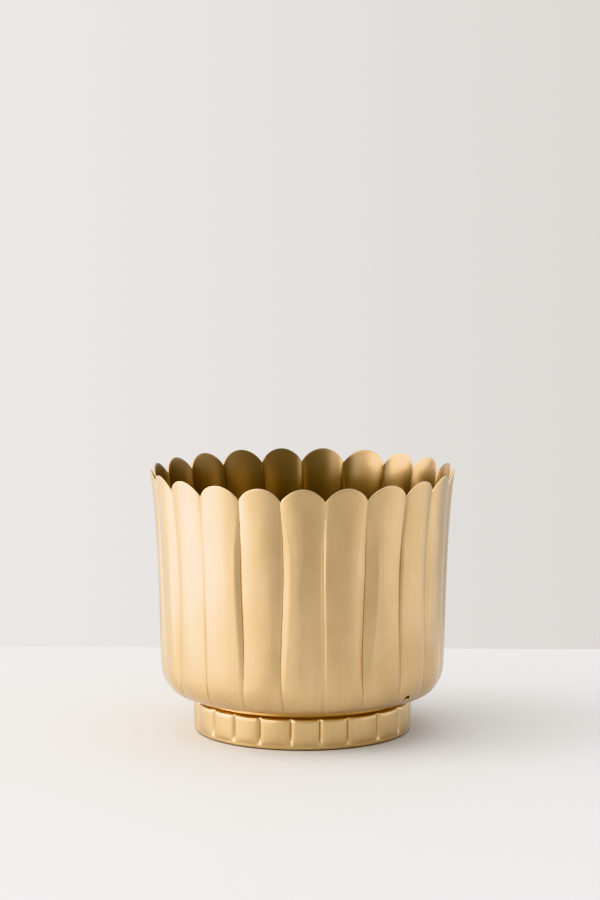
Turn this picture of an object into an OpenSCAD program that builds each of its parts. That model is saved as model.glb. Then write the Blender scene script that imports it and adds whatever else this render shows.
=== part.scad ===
/* [Bowl] */
// Height from the resting face to the tips of the scallops
total_h = 175.6; // [160:0.1:200]
// Radius over the flutes where the wall meets the shoulder
wall_r = 93.9; // [86:0.1:100]
// How far the wall leans out on its way up, at the tips
wall_taper = 3.9; // [0:0.1:10]
// How far the lip flares out beyond that lean, at the tips
lip_flare = 2.7; // [0:0.1:6]
// Thickness of the bowl's sheet
sheet_t = 1; // [0.8:0.1:1.5]
// Height of the bowl's underside
base_z = 26; // [22:0.5:32]
// Height at which the wall turns into the shoulder
shoulder_z = 48; // [42:0.5:56]
// How far in the shoulder turns before the bottom is flat
shoulder_w = 18; // [12:0.5:20]

/* [Flutes] */
// Number of flutes, with one scallop each
flutes = 21; // [16:1:24]
// Depth of the creases between the flutes, at the rim
crease_rim = 2.3; // [0.5:0.1:4]
// Depth of the creases where the wall meets the shoulder
crease_low = 1.5; // [0.5:0.1:3]
// Height of a scallop above the notches beside it
scallop_h = 9.7; // [5:0.1:14]

/* [Vent hole] */
// Radius of the small hole in the shoulder
hole_r = 2; // [1:0.1:4]
// Direction of the hole, counted from the front towards the right
hole_az = 49.5; // [0:0.5:90]
// How far round the shoulder it sits, from the wall (0) to the bottom (1)
hole_place = 0.45; // [0.2:0.01:0.7]

/* [Foot ring] */
// Radius over the foot's wall
foot_r = 72.2; // [66:0.1:74]
// Height of the foot's upright wall
foot_wall_h = 21; // [16:0.5:21]
// Thickness of the foot's strip
foot_t = 1; // [0.8:0.1:1.5]
// How far the neck stands in from the foot's wall
neck_in = 3; // [2:0.1:5]
// Width of the resting flange turned in at the bottom
hem_w = 4; // [3:0.5:8]
// Width of the brazing flange turned in at the top of the neck
flange_w = 3; // [2:0.5:6]
// Radius of the foot's lower corner
corner_r = 1.3; // [1.1:0.1:1.5]
// Radius of the bend from the foot's wall into the neck
bend_r = 1.8; // [1.5:0.1:2]
// Depth of the short creases pressed into the foot
foot_crease = 0.5; // [0.2:0.1:0.6]
// Height of the plain bands above and below those creases
plain_band = 3; // [2:0.5:5]

/* [Braze joint] */
// Thickness of the filler between the neck's flange and the bowl
film_t = 0.15; // [0.1:0.05:0.3]
// Leg of the fillet of filler in the neck
fillet_w = 1.6; // [1:0.1:2]

/* [Hidden] */

brass = [0.80, 0.66, 0.42];
filler = [0.62, 0.45, 0.22];
lobe_power = 2.2;        // roundness of a flute from crease to crease
lean_power = 1.4;        // 1 leans the wall evenly, more leans its upper half further
lip_power = 5;           // how late on the way up the lip flares
scallop_power = 0.75;    // 0.5 makes a scallop a half ellipse, more opens the notches
shoulder_power = 2.4;    // 2 makes the shoulder an ellipse, more makes it fuller
fade_power = 1.2;        // how soon the creases fade out round the shoulder
round_fn = 168;
hole_fn = 32;
bend_steps = 6;
segs = 8;                // columns in one flute
columns = flutes * segs;
shoulder_rows = 7;
wall_rows = 8;
lip_rows = 2;
notch_z = total_h - scallop_h;
lip_z = notch_z - 16;    // above this height the rows bend to follow the scallops
floor_r = wall_r - shoulder_w;
neck_r = foot_r - neck_in;
neck_top = base_z - film_t;
drill_l = 8 * sheet_t;   // long enough to pass through the sheet at a slant
crease_bar = 3;          // side of the square bar whose edge cuts a foot crease

// Place of a column in its flute, from -0.5 at one crease to 0.5 at the next,
// set closer together near the creases.
function flute_place(c) = -cos(180 * (c % segs) / segs) / 2;

// Direction of a column. Flute 0 faces the front, which is -Y.
function column_az(c) = -90 + 360 / flutes * (floor(c / segs) + flute_place(c));

// 0 on the crest of a flute and 1 in a crease
function lobe(c) = pow(abs(2 * flute_place(c)), lobe_power);

// Height of the scalloped edge, one round scallop over each flute
function edge_z(c) = notch_z + scallop_h * pow(max(0, 1 - pow(2 * flute_place(c), 2)), scallop_power);

// How far up the wall a height is, from 0 at the shoulder to 1 at the tips
function rise(z) = (z - shoulder_z) / (total_h - shoulder_z);

function crest_r(z) =
    wall_r + wall_taper * pow(rise(z), lean_power) + lip_flare * pow(rise(z), lip_power);

function crease_depth(z) = crease_low + (crease_rim - crease_low) * rise(z);

// Radius and height of the shoulder, s running from the wall (0) to the bottom (1)
function shoulder_rz(s, inset) = let (e = 2 / shoulder_power) [
    floor_r + (shoulder_w - inset) * pow(cos(90 * s), e),
    shoulder_z - (shoulder_z - base_z - inset) * pow(sin(90 * s), e)
];

function shoulder_point(c, s, inset) =
    let (rz = shoulder_rz(s, inset), r = rz[0] - crease_low * pow(1 - s, fade_power) * lobe(c))
    [r * cos(column_az(c)), r * sin(column_az(c)), rz[1]];

function wall_point(c, z, inset) = let (r = crest_r(z) - crease_depth(z) * lobe(c) - inset)
    [r * cos(column_az(c)), r * sin(column_az(c)), z];

// One face of the sheet, row by row from the edge of the bottom to the scalloped rim
function sheet_rows(inset) = [
    for (i = [shoulder_rows:-1:1], c = [0:columns - 1]) shoulder_point(c, i / shoulder_rows, inset),
    for (i = [0:wall_rows - 1], c = [0:columns - 1])
        wall_point(c, shoulder_z + (lip_z - shoulder_z) * i / (wall_rows - 1), inset),
    for (i = [1:lip_rows], c = [0:columns - 1])
        wall_point(c, lip_z + (edge_z(c) - lip_z) * i / lip_rows, inset)
];

rows = shoulder_rows + wall_rows + lip_rows;

function next(c) = (c + 1) % columns;

// Two triangles between row i and row i + 1; the inner face starts at point `first`
// and is turned over.
function band(i, c, first, inner) =
    let (
        a = first + i * columns + c,
        b = first + i * columns + next(c),
        d = first + (i + 1) * columns + c,
        e = first + (i + 1) * columns + next(c)
    )
    inner ? [[a, b, e], [a, e, d]] : [[a, e, b], [a, d, e]];

module fluted_shell() {
    inner = rows * columns;
    under = 2 * rows * columns;
    top_o = (rows - 1) * columns;
    top_i = inner + top_o;
    polyhedron(
        points = concat(sheet_rows(0), sheet_rows(sheet_t), [[0, 0, base_z], [0, 0, base_z + sheet_t]]),
        faces = concat(
            [for (i = [0:rows - 2], c = [0:columns - 1], t = band(i, c, 0, false)) t],
            [for (i = [0:rows - 2], c = [0:columns - 1], t = band(i, c, inner, true)) t],
            [for (c = [0:columns - 1]) [under, c, next(c)]],
            [for (c = [0:columns - 1]) [under + 1, inner + next(c), inner + c]],
            [for (c = [0:columns - 1]) [top_o + c, top_i + c, top_i + next(c)]],
            [for (c = [0:columns - 1]) [top_o + c, top_i + next(c), top_o + next(c)]]
        ),
        convexity = 8
    );
}

// The small hole, square to the shoulder's surface where it passes through
module vent_hole() {
    rz = shoulder_rz(hole_place, 0);
    over = pow((rz[0] - floor_r) / shoulder_w, shoulder_power - 1) / shoulder_w;
    down = pow((shoulder_z - rz[1]) / (shoulder_z - base_z), shoulder_power - 1)
        / (shoulder_z - base_z);
    rotate([0, 0, hole_az - 90])
        translate([rz[0], 0, rz[1]])
            rotate([0, 90 + atan(down / over), 0])
                cylinder(r = hole_r, h = drill_l, center = true, $fn = hole_fn);
}

module bowl() {
    color(brass) difference() {
        fluted_shell();
        vent_hole();
    }
}

// Points of a quarter bend about a centre, from angle a0 to angle a1
function bend(cx, cz, r, a0, a1) = [
    for (i = [0:bend_steps]) let (a = a0 + (a1 - a0) * i / bend_steps)
        [cx + r * cos(a), cz + r * sin(a)]
];

// The foot's strip seen in section: resting flange, wall, neck and brazing flange
module foot_section() {
    bend_z = foot_wall_h - bend_r;
    polygon(concat(
        [[foot_r - corner_r - hem_w, 0]],
        bend(foot_r - corner_r, corner_r, corner_r, -90, 0),
        bend(foot_r - bend_r, bend_z, bend_r, 0, 90),
        [[neck_r, foot_wall_h], [neck_r, neck_top], [neck_r - flange_w, neck_top]],
        [[neck_r - flange_w, neck_top - foot_t], [neck_r - foot_t, neck_top - foot_t]],
        [[neck_r - foot_t, foot_wall_h - foot_t]],
        bend(foot_r - bend_r, bend_z, bend_r - foot_t, 90, 0),
        bend(foot_r - corner_r, corner_r, corner_r - foot_t, 0, -90),
        [[foot_r - corner_r - hem_w, foot_t]]
    ));
}

// A square bar on edge, whose corner cuts one upright crease
module foot_crease_cutter() {
    translate([foot_r - foot_crease + crease_bar / sqrt(2), 0, foot_wall_h / 2])
        rotate([0, 0, 45])
            cube([crease_bar, crease_bar, foot_wall_h - 2 * plain_band], center = true);
}

module foot_ring() {
    color(brass) difference() {
        rotate_extrude($fn = round_fn) foot_section();
        for (i = [0:flutes - 1])
            rotate([0, 0, 360 * (i + 0.5) / flutes - 90]) foot_crease_cutter();
    }
}

// Film of filler on the neck's flange, and the hollow fillet in the corner outside it
module braze_joint() {
    fillet_pts = bend(neck_r + fillet_w, base_z - fillet_w, fillet_w, 90, 180);
    color(filler) rotate_extrude($fn = round_fn)
        polygon(concat(
            [[neck_r - flange_w, neck_top], [neck_r - flange_w, base_z]],
            fillet_pts,
            [[neck_r, neck_top]]
        ));
}

bowl();
foot_ring();
braze_joint();
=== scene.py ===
import math
import random

import bmesh
import bpy
from mathutils import Matrix, Vector


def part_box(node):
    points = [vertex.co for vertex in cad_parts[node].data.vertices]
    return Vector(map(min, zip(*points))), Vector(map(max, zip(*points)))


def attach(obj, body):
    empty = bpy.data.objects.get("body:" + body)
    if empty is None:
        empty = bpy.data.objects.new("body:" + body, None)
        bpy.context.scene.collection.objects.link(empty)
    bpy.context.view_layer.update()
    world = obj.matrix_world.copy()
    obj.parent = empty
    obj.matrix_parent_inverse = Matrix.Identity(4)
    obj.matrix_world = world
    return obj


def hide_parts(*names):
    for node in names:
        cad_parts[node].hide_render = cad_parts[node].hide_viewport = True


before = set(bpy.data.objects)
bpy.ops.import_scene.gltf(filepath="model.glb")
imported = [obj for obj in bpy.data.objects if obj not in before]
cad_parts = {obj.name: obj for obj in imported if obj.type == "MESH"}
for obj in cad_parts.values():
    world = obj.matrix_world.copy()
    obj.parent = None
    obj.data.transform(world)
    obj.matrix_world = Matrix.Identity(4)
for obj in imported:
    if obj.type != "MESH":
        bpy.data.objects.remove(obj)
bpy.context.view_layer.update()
print("frame loaded:", ", ".join(sorted(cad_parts)))

flutes = 21  # in the bowl, and as many panels in the foot ring
pitch = 2 * math.pi / flutes  # turn from one flute to the next
cutAngle = math.radians(62)  # edges sharper than this lose their burr
seamAngle = math.radians(30)  # edges sharper than this are shaded sharp


def deselectAll():
    if bpy.context.object and bpy.context.object.mode != "OBJECT":
        bpy.ops.object.mode_set(mode="OBJECT")
    bpy.ops.object.select_all(action="DESELECT")


def makeActive(piece):
    deselectAll()
    piece.select_set(True)
    bpy.context.view_layer.objects.active = piece


def mix(a, b, t):
    return a + (b - a) * t


def ease(t):
    t = min(1.0, max(0.0, t))
    return t * t * (3 - 2 * t)


def spinCage(name, columns, profile):
    # A ring at the first station, drawn out and scaled from one station to the next
    deselectAll()
    radius, height = profile[0]
    bpy.ops.mesh.primitive_circle_add(vertices=columns, radius=radius, location=(0, 0, height))
    piece = bpy.context.object
    piece.name = piece.data.name = name
    bpy.ops.object.transform_apply(location=True)
    bpy.ops.object.mode_set(mode="EDIT")
    bpy.ops.mesh.select_all(action="SELECT")
    for (r0, z0), (r1, z1) in zip(profile, profile[1:]):
        bpy.ops.mesh.extrude_region_move(TRANSFORM_OT_translate={"value": (0, 0, z1 - z0)})
        bpy.ops.transform.resize(value=(r1 / r0, r1 / r0, 1), center_override=(0, 0, 0))
    return piece


def cagePlaces(piece, columns, profile):
    # Which vertex stands at each station and column; column 0 faces the front
    places = {}
    for v in bmesh.from_edit_mesh(piece.data).verts:
        column = round(math.atan2(v.co.x, -v.co.y) / (2 * math.pi) * columns) % columns
        reach = math.hypot(v.co.x, v.co.y)
        gaps = [(r - reach) ** 2 + (z - v.co.z) ** 2 for r, z in profile]
        places[gaps.index(min(gaps)), column] = v.index
    return places


def pick(piece, indices):
    bpy.ops.mesh.select_all(action="DESELECT")
    bm = bmesh.from_edit_mesh(piece.data)
    bm.verts.ensure_lookup_table()
    for i in indices:
        bm.verts[i].select_set(True)


def pickEdges(piece, pairs):
    bpy.ops.mesh.select_all(action="DESELECT")
    bm = bmesh.from_edit_mesh(piece.data)
    bm.verts.ensure_lookup_table()
    for a, b in pairs:
        bm.edges.get((bm.verts[a], bm.verts[b])).select_set(True)


def turn(angle):
    # Counter-clockwise from above; with no window the operator turns the other way
    bpy.ops.transform.rotate(value=-angle, orient_axis="Z", center_override=(0, 0, 0))


def press(reach, depth):
    # Pushes what is picked in towards the axis
    scale = (reach - depth) / reach
    bpy.ops.transform.resize(value=(scale, scale, 1), center_override=(0, 0, 0))


def lift(height):
    bpy.ops.transform.translate(value=(0, 0, height))


def spaceCreases(piece, at, rows, perFlute, offsets):
    # Turns each crease by its own offset, and the flute between two creases along with them
    for c in range(flutes * perFlute):
        before, step = divmod(c - perFlute // 2, perFlute)
        share = step / perFlute
        shift = mix(offsets[before % flutes], offsets[(before + 1) % flutes], share)
        pick(piece, [at[row, c] for row in rows])
        turn(math.radians(shift))


def applyModifier(piece, kind, name, **settings):
    makeActive(piece)
    modifier = piece.modifiers.new(name, kind)
    for key, value in settings.items():
        setattr(modifier, key, value)
    bpy.ops.object.modifier_apply(modifier=name)


def faceOutwards(piece):
    makeActive(piece)
    bpy.ops.object.mode_set(mode="EDIT")
    bpy.ops.mesh.select_all(action="SELECT")
    bpy.ops.mesh.normals_make_consistent(inside=False)
    bpy.ops.object.mode_set(mode="OBJECT")


def thickenSheet(piece, made, side):
    # The wall gets the thickness of its sheet, and its cut edges lose their burr
    applyModifier(piece, "SOLIDIFY", "sheet", thickness=made["sheet"], offset=side, use_even_offset=True)
    applyModifier(piece, "BEVEL", "cutEdge", width=made["cutEdge"], segments=2, limit_method="ANGLE",
                  angle_limit=cutAngle)
    faceOutwards(piece)


def markMetal(piece, name, weights):
    # A value at each vertex: one mark for dark crease lines and painted shade, the other for a deeper
    # painted shade
    mark = piece.data.attributes.new(name, "FLOAT", "POINT")
    for i, weight in weights.items():
        mark.data[i].value = weight


def markShadedInside(piece):
    # The bowl's inner face and floor get painted shade, darker than the outside
    weights = {}
    for v in piece.data.vertices:
        outward = v.normal.x * v.co.x + v.normal.y * v.co.y
        onFloor = v.normal.z > 0.5 and v.co.z < bowl["shoulderTop"]
        weights[v.index] = 1 if outward < -0.2 * v.co.length or onFloor else 0
    markMetal(piece, "inside", weights)


bowlLow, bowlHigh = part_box("bowl")
bowl = {
    "name": "pressed_bowl",
    "underside": bowlLow.z,
    "tips": bowlHigh.z,
    "rimRadius": -bowlLow.y,
    "wallRadius": 0.0939,  # where the wall meets the shoulder
    "shoulderTop": 0.048,
    "shoulderWidth": 0.018,
    "shoulderFullness": 2.4,  # 2 makes a quarter ellipse, more a squarer shoulder
    "taper": 0.0039,
    "leanPower": 1.4,
    "flarePower": 5,  # more keeps the flare nearer the rim
    "sheet": 0.0009,
    "cutEdge": 0.00022,
    "columns": 8,  # in each flute
    "floorRings": (0.12, 0.5, 0.9),  # shares of the flat bottom's radius
    "shoulderRings": 6,
    "wallRings": (0.062, 0.079, 0.097, 0.115, 0.133),
    "scallopHeight": 0.0098,
    "scallopPower": 0.75,  # 0.5 makes a scallop a half ellipse, more opens the notches
    "scallopStart": 0.150,  # the wall's rows bend to the scallops above this height
    "scallopRows": (0.3, 0.62, 1),  # how far each of the last rows rises with the scallops
    "tipLift": 1.02,  # makes up for what rounding takes off the tips
    "lipStart": 0.135,  # above this height the creases open into plain round lips
    "lipPlace": (0, 0.19, 0.354, 0.462, 0.5),  # half a lip's points across, from its crown to its notch
    "lipDrop": (0, 0.06, 0.30, 0.70, 1),
    "rimCrease": 0.0021,
    "flankSlope": 0.54,
    "leastFlank": 0.001,  # a flank's width at the rim and at the shoulder
    "flankFoot": 0.15,  # how far below the shoulder a flank's swell would end, in wall heights
    "crown": 15,  # how much more a flute bends across than the wall does, 1/m
    "crownLimit": 0.85,  # a crown falls by at most this share of its crease
    "line": 0.0009,  # width of the dark line in a crease, to either side
    "neckShade": {2: 0.6, 3: -1},  # painted shade on the rings of the bottom beside the foot ring
    "depthSpread": 0.25,
    "lean": 0.0007,  # how far a crease strays sideways
    "swayTurns": (0.55, 0.9),  # slow and quick swing of a crease, radians a ring
    "dent": 0.00016,  # unevenness of a flute's crown
    "dentTurn": 0.8,
    "waviness": 0.0005,
    "waveSize": 0.035,
    "seed": 7,
    # Creases are numbered from the first one right of the front; degrees off an even spacing
    "offsets": {17: 0.1, 18: 1.1, 19: 1.4, 20: 0.5, 0: -0.1, 1: -0.7, 2: 0, 3: -1.2},
    # Widest left and right flank of a crease in mm
    "flanks": {
        17: (7, 6), 18: (1.2, 2.5), 19: (4.5, 2), 20: (2, 5.5), 0: (2.8, 1.6), 1: (6.5, 9),
        2: (4.6, 1.6), 3: (3.5, 5),
    },
}


# Rings before the first of the wall are the bottom and the shoulder, where the creases end
firstWall = len(bowl["floorRings"]) + bowl["shoulderRings"]
creaseEnd = 4


def bowlRadius(height):
    rise = (height - bowl["shoulderTop"]) / (bowl["tips"] - bowl["shoulderTop"])
    flare = bowl["rimRadius"] - bowl["wallRadius"] - bowl["taper"]
    rise = max(0, rise)
    leaning = bowl["wallRadius"] + bowl["taper"] * rise ** bowl["leanPower"]
    return leaning + flare * rise ** bowl["flarePower"]


def bowlProfile():
    floorEdge = bowl["wallRadius"] - bowl["shoulderWidth"]
    drop = bowl["shoulderTop"] - bowl["underside"]
    power = 2 / bowl["shoulderFullness"]
    profile = [(r * floorEdge, bowl["underside"]) for r in bowl["floorRings"]]
    for step in range(bowl["shoulderRings"]):
        angle = math.pi / 2 * (1 - step / bowl["shoulderRings"])
        radius = floorEdge + bowl["shoulderWidth"] * max(0, math.cos(angle)) ** power
        profile.append((radius, bowl["shoulderTop"] - drop * math.sin(angle) ** power))
    top = bowl["tips"] - bowl["scallopHeight"]
    heights = [bowl["shoulderTop"], *bowl["wallRings"], bowl["scallopStart"]]
    heights += [mix(bowl["scallopStart"], top, f) for f in (0.4, 0.75, 1)]
    return profile + [(bowlRadius(z), z) for z in heights]


def creaseStyle(rng, number):
    # How one crease was pressed: its depth, its two flanks and where they are widest
    widths = bowl["flanks"].get(number, (rng.uniform(1.5, 6), rng.uniform(1.5, 5)))
    return {
        "depth": 1 + bowl["depthSpread"] * rng.uniform(-1, 1),
        "width": {1: widths[0] / 1000, -1: widths[1] / 1000},
        "peak": {1: rng.uniform(0.4, 0.65), -1: rng.uniform(0.3, 0.65)},
        "crown": bowl["crown"] * rng.uniform(0.8, 1.2),
        "darkening": rng.uniform(0.65, 1),
        "sway": (rng.uniform(-1, 1), rng.uniform(-1, 1)),
    }


def flankWidth(style, side, rise):
    peak = style["peak"][side]
    reach = 1 - peak if rise > peak else peak + bowl["flankFoot"]
    swell = max(0, 1 - ((rise - peak) / reach) ** 2)
    return mix(bowl["leastFlank"], style["width"][side], swell)


def creaseDepth(style, rise, reach):
    # Deep enough for both flanks to slope down from the ends of the crowns beside them
    depth = 0
    for side in (-1, 1):
        width = flankWidth(style, side, rise)
        crownEnd = pitch * reach / 2 - width
        depth += (bowl["crown"] * crownEnd ** 2 / 2 + bowl["flankSlope"] * width) / 2
    return depth * mix(1, style["depth"], ease(rise * 2))


def sway(style, station):
    slow, quick = style["sway"]
    slowTurn, quickTurn = bowl["swayTurns"]
    return slow * math.sin(station * slowTurn) + quick * math.sin(station * quickTurn + 2)


def strength(station):
    # The creases fade out round the shoulder
    return ease((station - creaseEnd) / (firstWall - creaseEnd))


def pressCreases(piece, at, profile, styles, dents):
    # Each crease is pushed in with a flank on either side of it, narrow near the rim and the shoulder
    last = len(profile) - 1
    half = bowl["columns"] // 2
    flank = {}
    for station in range(creaseEnd, last + 1):
        reach, height = profile[station]
        rise = (height - bowl["shoulderTop"]) / (bowl["tips"] - bowl["shoulderTop"])
        share = ease((height - bowl["lipStart"]) / (profile[last][1] - bowl["lipStart"]))
        middle = math.sin(math.pi * (station - creaseEnd) / (last - creaseEnd))
        for f in range(flutes):
            for step in range(-half + 1, half + 1):
                side = 1 if step > 0 else -1
                k = abs(step)
                style = styles[f if side > 0 else f - 1]
                ridge = 0.5 - flankWidth(style, side, rise) / (pitch * reach)
                body = 0.5 if k == half else ridge * k / (half - 1)
                place = mix(body, bowl["lipPlace"][k], share)
                drift = sway(style, station) * bowl["lean"] / reach * middle * (2 * place) ** 2
                column = (f * bowl["columns"] + step) % (flutes * bowl["columns"])
                pick(piece, [at[station, column]])
                turn(side * (place - k / bowl["columns"]) * pitch + drift)
                crease = creaseDepth(style, rise, reach)
                arc = styles[f]["crown"] * (place * pitch * reach) ** 2 / 2
                fall = crease if k == half else min(arc, bowl["crownLimit"] * crease)
                sink = mix(fall, bowl["rimCrease"] * bowl["lipDrop"][k], share)
                sink *= strength(station)
                if k == half - 1:
                    flank[column, station] = flankWidth(style, side, rise)
                swing, level, phase = dents[column][:3]
                wave = swing * math.sin(station * bowl["dentTurn"] + 3 * phase)
                sink += bowl["dent"] * middle * (wave + level)
                press(reach, sink)
    return flank


def raiseScallops(piece, at, profile):
    # Each flute's top edge rises in a round arc
    last = len(profile) - 1
    columns = flutes * bowl["columns"]
    for k in range(bowl["columns"] // 2):
        arc = (1 - (2 * bowl["lipPlace"][k]) ** 2) ** bowl["scallopPower"]
        height = bowl["scallopHeight"] * bowl["tipLift"] * arc
        for station, part in zip(range(last - 2, last + 1), bowl["scallopRows"]):
            steps = [f * bowl["columns"] + side * k for f in range(flutes) for side in (-1, 1)]
            pick(piece, [at[station, step % columns] for step in steps])
            lift(height * part)
            radius, level = profile[station]
            press(radius, radius - bowlRadius(level + height * part))


def sharpenCreases(piece, at, last, rng):
    # Creases stay sharp on the wall and soften round the shoulder; ridges are softer
    columns = flutes * bowl["columns"]
    sharpFrom = firstWall - 3

    def run(c, first, final):
        return [(at[s, c % columns], at[s + 1, c % columns]) for s in range(first, final)]

    for f in range(flutes):
        c = f * bowl["columns"] + bowl["columns"] // 2
        pickEdges(piece, run(c, sharpFrom, last))
        bpy.ops.transform.edge_crease(value=1)
        pickEdges(piece, run(c, sharpFrom - 1, sharpFrom))
        bpy.ops.transform.edge_crease(value=0.6)
        for side in (-1, 1):
            pickEdges(piece, run(c + side, firstWall, last - 2))
            bpy.ops.transform.edge_crease(value=rng.uniform(0.7, 1))


def markCreaseLinesAndShade(piece, at, flank, styles):
    # Full in a crease and falling to nothing within the line's width; painted shade on the bottom's rings
    # beside the foot ring
    clean = -9
    weights = {}
    for (station, c), i in at.items():
        f, step = divmod(c, bowl["columns"])
        near = 1 if step == bowl["columns"] // 2 else clean
        if (c, station) in flank:
            near = 1 - flank[c, station] / bowl["line"]
        if near > 0:
            near *= styles[f]["darkening"]
        weights[i] = max(near * strength(station), bowl["neckShade"].get(station, clean))
    markMetal(piece, "crease_line_and_shade", weights)


def makeBowl():
    rng = random.Random(bowl["seed"])
    profile = bowlProfile()
    columns = flutes * bowl["columns"]
    last = len(profile) - 1
    piece = spinCage(bowl["name"], columns, profile)
    at = cagePlaces(piece, columns, profile)
    pick(piece, [at[0, c] for c in range(columns)])
    bpy.ops.mesh.edge_face_add()  # the inner ring closes on the axis
    bpy.ops.mesh.poke()
    bpy.ops.mesh.select_all(action="DESELECT")

    styles = [creaseStyle(rng, f) for f in range(flutes)]
    dents = [[rng.uniform(-1, 1) for _ in range(4)] for _ in range(columns)]  # the last of the four is spare
    flank = pressCreases(piece, at, profile, styles, dents)
    offsets = [bowl["offsets"].get(f, rng.uniform(-1, 1)) for f in range(flutes)]
    spaceCreases(piece, at, range(creaseEnd, last + 1), bowl["columns"], offsets)
    raiseScallops(piece, at, profile)
    sharpenCreases(piece, at, last, rng)
    bpy.ops.object.mode_set(mode="OBJECT")
    markCreaseLinesAndShade(piece, at, flank, styles)

    applyModifier(piece, "SUBSURF", "round", levels=2, render_levels=2)
    hammer = bpy.data.textures.new("handWork", "CLOUDS")
    hammer.noise_scale = bowl["waveSize"]
    applyModifier(piece, "DISPLACE", "waves", texture=hammer, texture_coords="GLOBAL",
                  strength=bowl["waviness"], mid_level=0.5)
    thickenSheet(piece, bowl, -1)
    markShadedInside(piece)
    print("bowl: flutes pressed and rim cut,", len(piece.data.polygons), "faces")
    return piece


ventHole = {
    "radius": 0.0022,
    "azimuth": math.radians(48.6),
    "place": 0.45,  # round the shoulder, from the wall (0) to the bottom (1)
    "drillLength": 0.012,
}


def drillVentHole(piece):
    power = 2 / bowl["shoulderFullness"]
    angle = math.pi / 2 * ventHole["place"]
    drop = bowl["shoulderTop"] - bowl["underside"]
    across, down = math.cos(angle) ** power, math.sin(angle) ** power
    radius = bowl["wallRadius"] - bowl["shoulderWidth"] * (1 - across)
    slope = bowl["shoulderFullness"] - 1
    tilt = math.atan2(down ** slope / drop, across ** slope / bowl["shoulderWidth"])
    az = ventHole["azimuth"]
    out = Vector((math.sin(az) * math.cos(tilt), -math.cos(az) * math.cos(tilt), -math.sin(tilt)))
    place = Vector((radius * math.sin(az), -radius * math.cos(az), bowl["shoulderTop"] - drop * down))
    deselectAll()
    bpy.ops.mesh.primitive_cylinder_add(
        vertices=40, radius=ventHole["radius"], depth=ventHole["drillLength"], location=place)
    drill = bpy.context.object
    drill.rotation_euler = out.to_track_quat("Z", "Y").to_euler()
    applyModifier(piece, "BOOLEAN", "ventHole", object=drill, operation="DIFFERENCE", solver="EXACT")
    bpy.data.objects.remove(drill)
    print("vent hole drilled")


footLow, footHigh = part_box("foot_ring")
foot = {
    "name": "pressed_foot_ring",
    "radius": -footLow.y,
    "top": footHigh.z,
    "wallHeight": 0.021,
    "neck": 0.003,  # how far the neck stands in
    "hem": 0.004,
    "flange": 0.003,
    "corner": 0.0013,
    "rows": (0.0024, 0.0032, 0.0044, 0.0085, 0.0125, 0.0160, 0.0172, 0.0182),
    "sheet": 0.0009,
    "cutEdge": 0.00018,
    "creaseDepth": 0.0013,
    "pillow": 0.0008,  # how far the middle of a panel swells
    "panelPlace": (0, 0.17, 0.32, 0.42, 0.5),  # half a panel's points across, from its middle to its crease
    "press": {6: 0.75, 7: 1, 8: 1, 9: 1, 10: 1, 11: 1, 12: 0.8, 13: 0.3},  # how far it reaches in each row
    "strayMm": 0.4,  # how far a crease may stand off its place, besides the offsets
    "creaseEnds": (-0.0006, 0.0003),  # how much lower or higher a crease may end
    # painted contact shadow on the rows along the bottom edge
    "hemShadow": {0: 1, 1: 1, 2: 1, 3: 0.5},
    "creaseLine": 0.45,
    "neckShadeStart": {12: -0.6, 13: 0.8},  # the rows where the painted shade on the top shelf and neck comes in
    "columns": 8,
    "seed": 3,
    # Degrees that hand-pressed creases stand off an even spacing, numbered as in the bowl
    "offsets": {16: 3, 17: 6, 18: 4.4, 19: 2.7, 20: 2.6, 0: 0.9, 1: -1.2, 2: 0.6, 3: 1.5},
}


def footProfile():
    r, neck = foot["radius"], foot["radius"] - foot["neck"]
    h, c = foot["wallHeight"], foot["corner"]
    hem = [(r - c - foot["hem"], 0), (r - c - 0.0008, 0), (r - c * 0.45, 0.0001), (r - 0.0001, c * 0.6)]
    wall = [(r, row) for row in foot["rows"]]
    edge = [(r - 0.0001, h - 0.0010), (r - 0.0009, h), (neck + 0.0006, h + 0.0003), (neck, h + 0.0010)]
    bend = [(neck, foot["top"] - 0.0008), (neck - 0.0004, foot["top"])]
    return hem + wall + edge + bend + [(neck - foot["flange"], foot["top"])]


def pressPanels(piece, at, profile):
    half = foot["columns"] // 2
    for station, (radius, _) in enumerate(profile):
        reached = foot["press"].get(station, 0)
        for f in range(flutes):
            for step in range(-half + 1, half + 1):
                k = abs(step)
                side = 1 if step > 0 else -1
                place = foot["panelPlace"][k]
                pick(piece, [at[station, (f * foot["columns"] + step) % (flutes * foot["columns"])]])
                turn(side * (place - k / foot["columns"]) * pitch)
                if reached:
                    drop = foot["creaseDepth"] * reached if k == half else 0
                    press(radius, drop - foot["pillow"] * (1 - (2 * place) ** 2) * reached)


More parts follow.
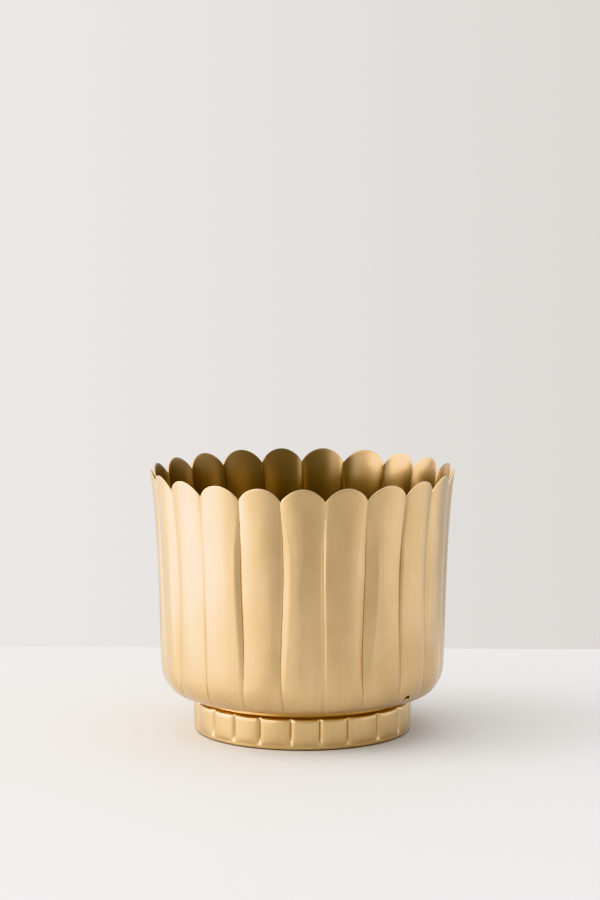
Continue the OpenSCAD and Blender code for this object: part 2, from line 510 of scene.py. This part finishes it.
def makeFoot():
    rng = random.Random(foot["seed"])
    profile = footProfile()
    columns = flutes * foot["columns"]
    half = foot["columns"] // 2
    piece = spinCage(foot["name"], columns, profile)
    at = cagePlaces(piece, columns, profile)
    pressPanels(piece, at, profile)
    offsets = [foot["offsets"].get(f, rng.uniform(-1.5, 1.5)) for f in range(flutes)]
    spaceCreases(piece, at, range(len(profile)), foot["columns"], offsets)
    lowest = min(foot["press"])
    for f in range(flutes):
        c = (f * foot["columns"] + half) % columns
        pick(piece, [at[s, c] for s in foot["press"]])
        turn(rng.uniform(-foot["strayMm"], foot["strayMm"]) * 0.001 / foot["radius"])
        pick(piece, [at[lowest, c]])
        lift(rng.uniform(*foot["creaseEnds"]))
        pickEdges(piece, [(at[s, c], at[s + 1, c]) for s in range(lowest, max(foot["press"]))])
        bpy.ops.transform.edge_crease(value=0.9)
    bpy.ops.object.mode_set(mode="OBJECT")

    # Dark crease lines, painted contact shadow along the hem, and painted shade on the top shelf and neck
    darkening, neck = {}, {}
    for (station, c), i in at.items():
        creased = station in foot["press"] and c % foot["columns"] == half
        darkening[i] = foot["creaseLine"] if creased else foot["hemShadow"].get(station, -1)
        neck[i] = foot["neckShadeStart"].get(station, 1 if station > max(foot["neckShadeStart"]) else -1)
    markMetal(piece, "crease_line_and_shade", darkening)
    markMetal(piece, "inside", neck)
    applyModifier(piece, "SUBSURF", "round", levels=2, render_levels=2)
    thickenSheet(piece, foot, 1)
    print("foot ring pressed,", len(piece.data.polygons), "faces")
    return piece


braze = {
    "name": "braze_fillet",
    "leg": 0.0014,  # of the fillet in the neck
    "hollow": 0.35,  # 0.5 makes the fillet flat, less hollows it
    "columns": 168,
}


def makeBraze():
    neck = foot["radius"] - foot["neck"]
    inner = neck - foot["flange"]
    low, high = foot["top"], bowl["underside"]
    leg, hollow = braze["leg"], braze["leg"] * braze["hollow"]
    profile = [
        (inner, low), (inner, high), (mix(inner, neck, 0.6), high), (neck + leg, high),
        (neck + hollow, high - hollow), (neck, high - leg), (neck - 0.0001, low), (inner, low),
    ]
    piece = spinCage(braze["name"], braze["columns"], profile)
    bpy.ops.mesh.select_all(action="SELECT")
    bpy.ops.mesh.remove_doubles(threshold=0.00001)
    bpy.ops.object.mode_set(mode="OBJECT")
    faceOutwards(piece)
    print("braze joint laid")
    return piece


brass = {
    "color": (0.80, 0.565, 0.30),
    "streakColor": (0.77, 0.54, 0.28),
    # darkens the crease lines and paints shade at the bottom edges
    "creaseAndShadeColor": (0.13, 0.06, 0.012),
    # painted shade on the foot ring's top shelf and neck
    "neckShadeColor": (0.50, 0.27, 0.07),
    "patchColor": (0.68, 0.455, 0.215),
    # painted shade inside the bowl
    "insideShadeColor": (0.24, 0.145, 0.05),
    "footColor": (0.78, 0.56, 0.285),
    "footStreak": (0.74, 0.52, 0.25),
    "roughness": 0.3,
    "lacquerRoughness": 0.2,
    "streaks": (60, 12),  # how fine the burnishing is across and along the flutes
    "streakRange": (0.3, 0.6),  # the noise's values that give one colour and the other
    "patches": (5, 28),
    "patchRange": (0.3, 0.75),
    "patchMost": 0.6,
}


def newMaterial(name, roughness):
    # Lacquered metal, with its node tree and shader
    material = bpy.data.materials.new(name)
    material.use_nodes = True
    shader = material.node_tree.nodes["Principled BSDF"]
    shader.inputs["Metallic"].default_value = 1
    shader.inputs["Roughness"].default_value = roughness
    shader.inputs["Coat Weight"].default_value = 1
    shader.inputs["Coat Roughness"].default_value = brass["lacquerRoughness"]
    return material, material.node_tree, shader


def remap(tree, value, start, full, low=0, high=1, smooth=False):
    spread = tree.nodes.new("ShaderNodeMapRange")
    if smooth:
        spread.interpolation_type = "SMOOTHSTEP"
    spread.inputs["From Min"].default_value = start
    spread.inputs["From Max"].default_value = full
    spread.inputs["To Min"].default_value = low
    spread.inputs["To Max"].default_value = high
    tree.links.new(value, spread.inputs["Value"])
    return spread.outputs["Result"]


def blend(tree, share, first, second):
    # The first is a colour or a socket, and the second a colour
    both = tree.nodes.new("ShaderNodeMix")
    both.data_type = "RGBA"
    both.clamp_factor = True  # a marked value may lie outside 0 to 1
    tree.links.new(share, both.inputs["Factor"])
    both.inputs["B"].default_value = (*second, 1)
    if isinstance(first, tuple):
        both.inputs["A"].default_value = (*first, 1)
    else:
        tree.links.new(first, both.inputs["A"])
    return both.outputs["Result"]


def marked(tree, name):
    mark = tree.nodes.new("ShaderNodeAttribute")
    mark.attribute_name = name
    return mark.outputs["Fac"]


def rotaryStreaks():
    # Group: a point becomes (turn, height), and stretched noise runs along the height
    group = bpy.data.node_groups.new("uprightStreaks", "ShaderNodeTree")
    face = group.interface
    face.new_socket("Point", in_out="INPUT", socket_type="NodeSocketVector")
    face.new_socket("Across", in_out="INPUT", socket_type="NodeSocketFloat")
    face.new_socket("Along", in_out="INPUT", socket_type="NodeSocketFloat")
    face.new_socket("Streak", in_out="OUTPUT", socket_type="NodeSocketFloat")
    nodes, links = group.nodes, group.links
    start, end = nodes.new("NodeGroupInput"), nodes.new("NodeGroupOutput")
    split = nodes.new("ShaderNodeSeparateXYZ")
    links.new(start.outputs["Point"], split.inputs[0])
    angle = nodes.new("ShaderNodeMath")
    angle.operation = "ARCTAN2"
    links.new(split.outputs["X"], angle.inputs[0])
    links.new(split.outputs["Y"], angle.inputs[1])
    across = nodes.new("ShaderNodeMath")
    across.operation = "MULTIPLY"
    links.new(angle.outputs[0], across.inputs[0])
    links.new(start.outputs["Across"], across.inputs[1])
    along = nodes.new("ShaderNodeMath")
    along.operation = "MULTIPLY"
    links.new(split.outputs["Z"], along.inputs[0])
    links.new(start.outputs["Along"], along.inputs[1])
    point = nodes.new("ShaderNodeCombineXYZ")
    links.new(across.outputs[0], point.inputs["X"])
    links.new(along.outputs[0], point.inputs["Y"])
    noise = nodes.new("ShaderNodeTexNoise")
    noise.inputs["Scale"].default_value = 1
    noise.inputs["Detail"].default_value = 3
    links.new(point.outputs[0], noise.inputs["Vector"])
    links.new(noise.outputs[0], end.inputs["Streak"])
    return group


streakGroup = rotaryStreaks()


def streaks(tree, fineness):
    where = tree.nodes.new("ShaderNodeTexCoord")
    streak = tree.nodes.new("ShaderNodeGroup")
    streak.node_tree = streakGroup
    streak.inputs["Across"].default_value, streak.inputs["Along"].default_value = fineness
    tree.links.new(where.outputs["Object"], streak.inputs["Point"])
    return streak.outputs["Streak"]


def satinBrass(name, color, streakColor, deepShadeColor):
    # Burnished brass with soft patches, dark crease lines, painted shade at the bottom edges and a deeper
    # painted shade on one part
    material, tree, shader = newMaterial(name, brass["roughness"])
    crease_line_and_shade = marked(tree, "crease_line_and_shade")
    fine = remap(tree, streaks(tree, brass["streaks"]), *brass["streakRange"])
    burnished = blend(tree, fine, streakColor, color)
    broad = streaks(tree, brass["patches"])
    patch = remap(tree, broad, *brass["patchRange"], 0, brass["patchMost"], smooth=True)
    worn = blend(tree, patch, burnished, brass["patchColor"])
    withLinesAndShade = blend(tree, crease_line_and_shade, worn, brass["creaseAndShadeColor"])
    withDeepShade = blend(tree, marked(tree, "inside"), withLinesAndShade, deepShadeColor)
    tree.links.new(withDeepShade, shader.inputs["Base Color"])
    tree.links.new(remap(tree, crease_line_and_shade, 0, 1, 1, 0), shader.inputs["Coat Weight"])  # no lacquer gloss on the crease lines and painted shade
    return material


filler = {
    "darkColor": (0.45, 0.24, 0.06),
    "color": (0.62, 0.38, 0.12),
    "roughness": 0.5,
    "mottle": 160,
}


def fillerMetal():
    material, tree, shader = newMaterial("braze_filler", filler["roughness"])
    where = tree.nodes.new("ShaderNodeTexCoord")
    noise = tree.nodes.new("ShaderNodeTexNoise")
    noise.inputs["Scale"].default_value = filler["mottle"]
    tree.links.new(where.outputs["Object"], noise.inputs["Vector"])
    mottled = blend(tree, noise.outputs[0], filler["darkColor"], filler["color"])
    tree.links.new(mottled, shader.inputs["Base Color"])
    return material


def finish(piece, material, node):
    piece.data.materials.clear()
    piece.data.materials.append(material)
    makeActive(piece)
    bpy.ops.object.shade_smooth_by_angle(angle=seamAngle)
    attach(piece, "root")
    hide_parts(node)


bowlPiece = makeBowl()
drillVentHole(bowlPiece)
footPiece = makeFoot()
brazePiece = makeBraze()
bowlBrass = satinBrass("satin_brass", brass["color"], brass["streakColor"], brass["insideShadeColor"])
footBrass = satinBrass("foot_brass", brass["footColor"], brass["footStreak"], brass["neckShadeColor"])
finish(bowlPiece, bowlBrass, "bowl")
finish(footPiece, footBrass, "foot_ring")
finish(brazePiece, fillerMetal(), "braze_joint")
print("pieces finished")

studio = {
    "floorColor": (0.69, 0.685, 0.687),
    "floorGlow": (0.60, 0.595, 0.59),  # the table as the metal sees it, shaded by the pot
    "tableBack": 0.27,
    "tableSize": (0.9, 0.70),
    "tableTurn": math.radians(-1.15),
    "wallLeft": (0.94, 0.905, 0.882),
    "wallRight": (0.733, 0.70, 0.675),
    "wallSpan": 0.15,  # how far to each side the wall shades from one colour to the other
    "roomColor": (1, 0.99, 0.97),
    "ambient": 0.57,
    # name, direction, where the glow begins and where it is full (degrees off that direction), glow
    "glows": [
        ("window", (-1, -0.05, -0.05), 37, 10, 7),
        ("left_wall", (-1, 0, 0), 90, 20, 0.6),
        ("right_wall", (1, 0, 0), 47, 15, 0.5),
        ("ceiling", (0, 0.2, 1), 80, 20, 0.7),
    ],
    "window": {
        "place": (-1.2, -0.5, 0.55),
        "aim": (-0.1, 0, 0.03),
        "size": (2.2, 1.0),
        "power": 12,
        "color": (1, 0.995, 0.985),
    },
}


def paleTable():
    material = bpy.data.materials.new("pale_table")
    material.use_nodes = True
    tree = material.node_tree
    shader = tree.nodes["Principled BSDF"]
    shader.inputs["Roughness"].default_value = 0.7
    path = tree.nodes.new("ShaderNodeLightPath")
    seen = blend(tree, path.outputs["Is Camera Ray"], studio["floorGlow"], studio["floorColor"])
    tree.links.new(seen, shader.inputs["Base Color"])
    return material


def makeFloor():
    deselectAll()
    bpy.ops.mesh.primitive_plane_add(size=1, location=(0, 0, 0))
    floor = bpy.context.object
    floor.name = "table_top"
    bpy.ops.object.mode_set(mode="EDIT")
    bpy.ops.mesh.select_all(action="SELECT")
    width, depth = studio["tableSize"]
    bpy.ops.transform.resize(value=(width, depth, 1), center_override=(0, 0, 0))
    bpy.ops.transform.translate(value=(0, studio["tableBack"] - depth / 2, 0))
    turn(studio["tableTurn"])
    bpy.ops.object.mode_set(mode="OBJECT")
    floor.data.materials.append(paleTable())


def addWindow():
    window = studio["window"]
    light = bpy.data.lights.new("window_left", "AREA")
    light.shape = "RECTANGLE"
    light.size, light.size_y = window["size"]
    light.energy = window["power"]
    light.color = window["color"]
    holder = bpy.data.objects.new("window_left", light)
    bpy.context.scene.collection.objects.link(holder)
    holder.location = window["place"]
    aim = Vector(window["aim"]) - Vector(window["place"])
    holder.rotation_euler = aim.to_track_quat("-Z", "Y").to_euler()
    holder.visible_camera = False


def roomGlow(tree, where):
    # Even light with a soft glow added in each of the named directions
    total = None
    for name, aim, start, full, glow in studio["glows"]:
        facing = tree.nodes.new("ShaderNodeVectorMath")
        facing.name = name
        facing.operation = "DOT_PRODUCT"
        facing.inputs[1].default_value = Vector(aim).normalized()
        tree.links.new(where, facing.inputs[0])
        edge, core = math.cos(math.radians(start)), math.cos(math.radians(full))
        both = tree.nodes.new("ShaderNodeMath")
        both.operation = "ADD"
        added = remap(tree, facing.outputs["Value"], edge, core, 0, glow, smooth=True)
        tree.links.new(added, both.inputs[0])
        if total:
            tree.links.new(total, both.inputs[1])
        else:
            both.inputs[1].default_value = studio["ambient"]
        total = both.outputs[0]
    return total


def roomLight():
    # The wall as the camera sees it, and for everything else a room with a window on the left
    world = bpy.data.worlds.new("pale_room")
    bpy.context.scene.world = world
    world.use_nodes = True
    tree = world.node_tree
    where = tree.nodes.new("ShaderNodeTexCoord")
    room = tree.nodes.new("ShaderNodeBackground")
    room.inputs["Color"].default_value = (*studio["roomColor"], 1)
    tree.links.new(roomGlow(tree, where.outputs["Generated"]), room.inputs["Strength"])
    split = tree.nodes.new("ShaderNodeSeparateXYZ")
    tree.links.new(where.outputs["Generated"], split.inputs[0])
    across = remap(tree, split.outputs["X"], -studio["wallSpan"], studio["wallSpan"])
    backdrop = tree.nodes["Background"]
    tree.links.new(blend(tree, across, studio["wallLeft"], studio["wallRight"]), backdrop.inputs["Color"])
    path = tree.nodes.new("ShaderNodeLightPath")
    chosen = tree.nodes.new("ShaderNodeMixShader")
    tree.links.new(path.outputs["Is Camera Ray"], chosen.inputs[0])
    tree.links.new(room.outputs[0], chosen.inputs[1])
    tree.links.new(backdrop.outputs[0], chosen.inputs[2])
    tree.links.new(chosen.outputs[0], tree.nodes["World Output"].inputs["Surface"])


camera = {
    "place": (-0.0016, -2.024, 0.456),
    "down": math.radians(7.56),
    "lens": 123.1,
}


def makeCamera():
    data = bpy.data.cameras.new("camera")
    data.sensor_width = 36
    data.lens = camera["lens"]
    holder = bpy.data.objects.new("camera", data)
    bpy.context.scene.collection.objects.link(holder)
    tilt = Matrix.Rotation(math.pi / 2 - camera["down"], 4, "X")
    holder.matrix_world = Matrix.Translation(camera["place"]) @ tilt
    bpy.context.scene.camera = holder


makeFloor()
addWindow()
roomLight()
makeCamera()
bpy.context.scene.view_settings.view_transform = "Khronos PBR Neutral"
print("studio and camera ready")
